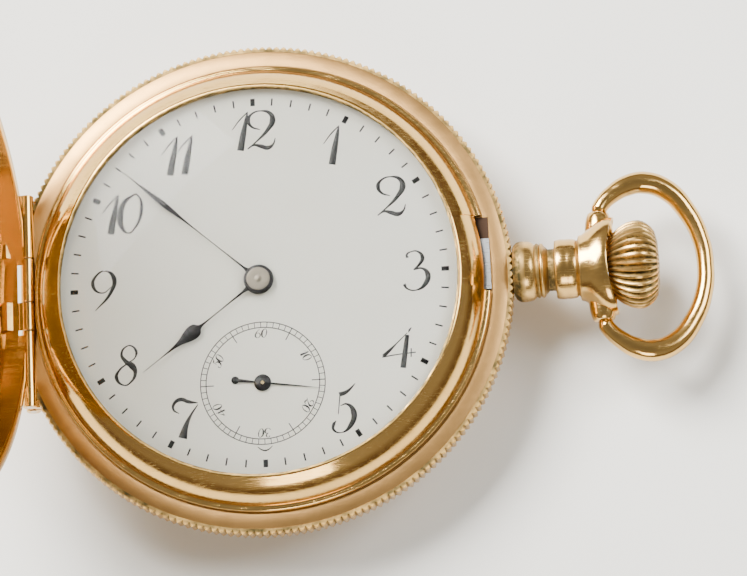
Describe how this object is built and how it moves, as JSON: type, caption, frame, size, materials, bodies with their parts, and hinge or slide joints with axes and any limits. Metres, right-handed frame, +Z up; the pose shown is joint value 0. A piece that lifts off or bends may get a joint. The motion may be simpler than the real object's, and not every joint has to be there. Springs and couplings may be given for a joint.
{
  "type": "hunter pocket watch",
  "caption": "Hunter-cased mechanical pocket watch with a hinged front lid, enamel dial with sub-seconds, fluted crown and bow.",
  "frame": {"origin": "middle of the back cover's flat rest face", "axes": "+Z up out of the dial, +X to the pendant at three o'clock, +Y to twelve o'clock"},
  "size_m": [0.0567, 0.035, 0.0383],
  "materials": {
    "polished_gold": "polished gold plate, worn",
    "reeded_gold": "coined edge, satin seat",
    "inner_gold": "polished gold plate",
    "crystal": "clear",
    "enamel": "white fired enamel with printed figures",
    "black_steel": "blackened steel",
    "steel": "polished steel",
    "blue_steel": "blued spring steel",
    "nickel": "damascened nickel",
    "wheel_brass": "gilt brass",
    "ruby": "synthetic ruby"
  },
  "bodies": {
    "root": {"back_hinge_pin": "steel", "balance_cock": "nickel", "barrel_bridge": "nickel", "bezel": "polished_gold", "bridge_jewels": "ruby", "bridge_screws": "steel", "case_band": "reeded_gold", "case_screws": "steel", "case_spring_screws": "steel", "center_jewel": "ruby", "click_screw": "steel", "click_spring": "steel", "clutch_lever": "steel", "cock_screw": "steel", "crystal": "crystal", "dial": "enamel", "front_hinge_pin": "steel", "hairspring_stud": "steel", "lift_spring": "steel", "main_plate": "nickel", "minute_wheel_post": "steel", "pallet_bridge": "nickel", "pendant": "polished_gold", "pendant_sleeve": "steel", "plate_jewels": "ruby", "setting_lever": "steel", "train_bridge": "nickel"},
    "front_cover": {"front_cover": "polished_gold"},
    "back_cover": {"back_cover": "polished_gold"},
    "inner_cover": {"inner_cover": "inner_gold"},
    "bow": {"bow": "polished_gold"},
    "winder": {"winding_pinion": "steel", "clutch_wheel": "steel"},
    "crown": {"crown": "polished_gold", "winding_stem": "steel"},
    "lock_spring": {"lock_spring": "steel"},
    "crown_wheel": {"crown_wheel": "steel", "crown_wheel_screw": "steel"},
    "ratchet_wheel": {"ratchet_wheel": "steel", "ratchet_screw": "steel", "barrel_arbor": "steel"},
    "click": {"click": "steel"},
    "minute_hand": {"minute_hand": "black_steel", "cannon_pinion": "steel"},
    "hour_hand": {"hour_hand": "black_steel", "hour_wheel": "wheel_brass"},
    "minute_wheel": {"minute_wheel": "wheel_brass"},
    "fourth_wheel": {"fourth_wheel": "wheel_brass", "seconds_hand": "black_steel"},
    "third_wheel": {"third_wheel": "wheel_brass"},
    "center_wheel": {"center_wheel": "wheel_brass"},
    "barrel": {"mainspring_barrel": "wheel_brass", "barrel_cover": "wheel_brass", "mainspring": "steel"},
    "escape_wheel": {"escape_wheel": "steel"},
    "pallet_fork": {"pallet_fork": "steel"},
    "balance": {"balance_wheel": "wheel_brass", "balance_staff": "steel", "hairspring": "blue_steel"},
    "regulator": {"regulator": "steel"}
  },
  "joints": [
    {"name": "front_cover_hinge", "type": "hinge", "parent": "root", "child": "front_cover", "pos_m": [-0.0164, 0, 0.00545], "axis": [0, -1, 0], "range_deg": [-101, 0]},
    {"name": "back_cover_hinge", "type": "hinge", "parent": "root", "child": "back_cover", "pos_m": [-0.0164, 0, 0.00405], "axis": [0, 1, 0], "range_deg": [0, 95]},
    {"name": "inner_cover_hinge", "type": "hinge", "parent": "root", "child": "inner_cover", "pos_m": [-0.01515, 0, 0.00263], "axis": [0, 1, 0], "range_deg": [0, 85.5]},
    {"name": "bow_swing", "type": "hinge", "parent": "root", "child": "bow", "pos_m": [0.0235, 0, 0.00475], "axis": [0, 1, 0], "range_deg": [-100, 100]},
    {"name": "stem_turn", "type": "hinge", "parent": "root", "child": "winder", "pos_m": [0.0103, 0, 0.00475], "axis": [1, 0, 0], "continuous": true},
    {"name": "crown_travel", "type": "slide", "parent": "winder", "child": "crown", "axis": [1, 0, 0], "range_m": [-0.00025, 0.0007]},
    {"name": "lock_spring_travel", "type": "slide", "parent": "root", "child": "lock_spring", "axis": [-1, 0, 0], "range_m": [0, 0.00025], "stiffness_N_per_m": 60},
    {"name": "crown_wheel_turn", "type": "hinge", "parent": "root", "child": "crown_wheel", "pos_m": [0.0079, 0, 0.003], "axis": [0, 0, 1], "continuous": true},
    {"name": "ratchet_turn", "type": "hinge", "parent": "root", "child": "ratchet_wheel", "pos_m": [0.00374, 0.00534, 0.003], "axis": [0, 0, 1], "continuous": true},
    {"name": "click_swing", "type": "hinge", "parent": "root", "child": "click", "pos_m": [-0.00186, 0.00754, 0.0027], "axis": [0, 0, 1], "range_deg": [-12, 12], "stiffness_Nm_per_rad": 0.00001},
    {"name": "minute_hand_turn", "type": "hinge", "parent": "root", "child": "minute_hand", "pos_m": [0, 0, 0.007], "axis": [0, 0, 1], "continuous": true},
    {"name": "minute_wheel_turn", "type": "hinge", "parent": "root", "child": "minute_wheel", "pos_m": [0.00288, 0, 0.006], "axis": [0, 0, 1], "continuous": true},
    {"name": "hour_hand_turn", "type": "hinge", "parent": "root", "child": "hour_hand", "pos_m": [0, 0, 0.007], "axis": [0, 0, 1], "continuous": true},
    {"name": "fourth_wheel_turn", "type": "hinge", "parent": "root", "child": "fourth_wheel", "pos_m": [0, -0.00725, 0.005], "axis": [0, 0, 1], "continuous": true},
    {"name": "third_wheel_turn", "type": "hinge", "parent": "root", "child": "third_wheel", "pos_m": [0.00274, -0.00423, 0.005], "axis": [0, 0, 1], "continuous": true},
    {"name": "center_wheel_turn", "type": "hinge", "parent": "root", "child": "center_wheel", "pos_m": [0, 0, 0.005], "axis": [0, 0, 1], "continuous": true},
    {"name": "barrel_turn", "type": "hinge", "parent": "root", "child": "barrel", "pos_m": [0.00374, 0.00534, 0.005], "axis": [0, 0, 1], "continuous": true},
    {"name": "escape_wheel_turn", "type": "hinge", "parent": "root", "child": "escape_wheel", "pos_m": [-0.0034, -0.00906, 0.005], "axis": [0, 0, 1], "continuous": true},
    {"name": "pallet_fork_swing", "type": "hinge", "parent": "root", "child": "pallet_fork", "pos_m": [-0.00505, -0.00715, 0.005], "axis": [0, 0, 1], "range_deg": [-6, 6]},
    {"name": "balance_swing", "type": "hinge", "parent": "root", "child": "balance", "pos_m": [-0.00743, -0.00396, 0.004], "axis": [0, 0, 1], "range_deg": [-270, 270], "stiffness_Nm_per_rad": 0.0000001},
    {"name": "regulator_shift", "type": "hinge", "parent": "root", "child": "regulator", "pos_m": [-0.00743, -0.00396, 0.002], "axis": [0, 0, 1], "range_deg": [-20, 20]}
  ],
  "couplings": [
    {"joint": "inner_cover_hinge", "follows": "back_cover_hinge", "ratio": 0.9},
    {"joint": "crown_wheel_turn", "follows": "stem_turn", "ratio": 0.39394},
    {"joint": "ratchet_turn", "follows": "stem_turn", "ratio": -0.25},
    {"joint": "minute_wheel_turn", "follows": "minute_hand_turn", "ratio": -0.33333},
    {"joint": "hour_hand_turn", "follows": "minute_hand_turn", "ratio": 0.083333},
    {"joint": "third_wheel_turn", "follows": "fourth_wheel_turn", "ratio": -0.13333},
    {"joint": "center_wheel_turn", "follows": "fourth_wheel_turn", "ratio": 0.016667},
    {"joint": "barrel_turn", "follows": "fourth_wheel_turn", "ratio": -0.0025641},
    {"joint": "escape_wheel_turn", "follows": "fourth_wheel_turn", "ratio": -10}
  ]
}
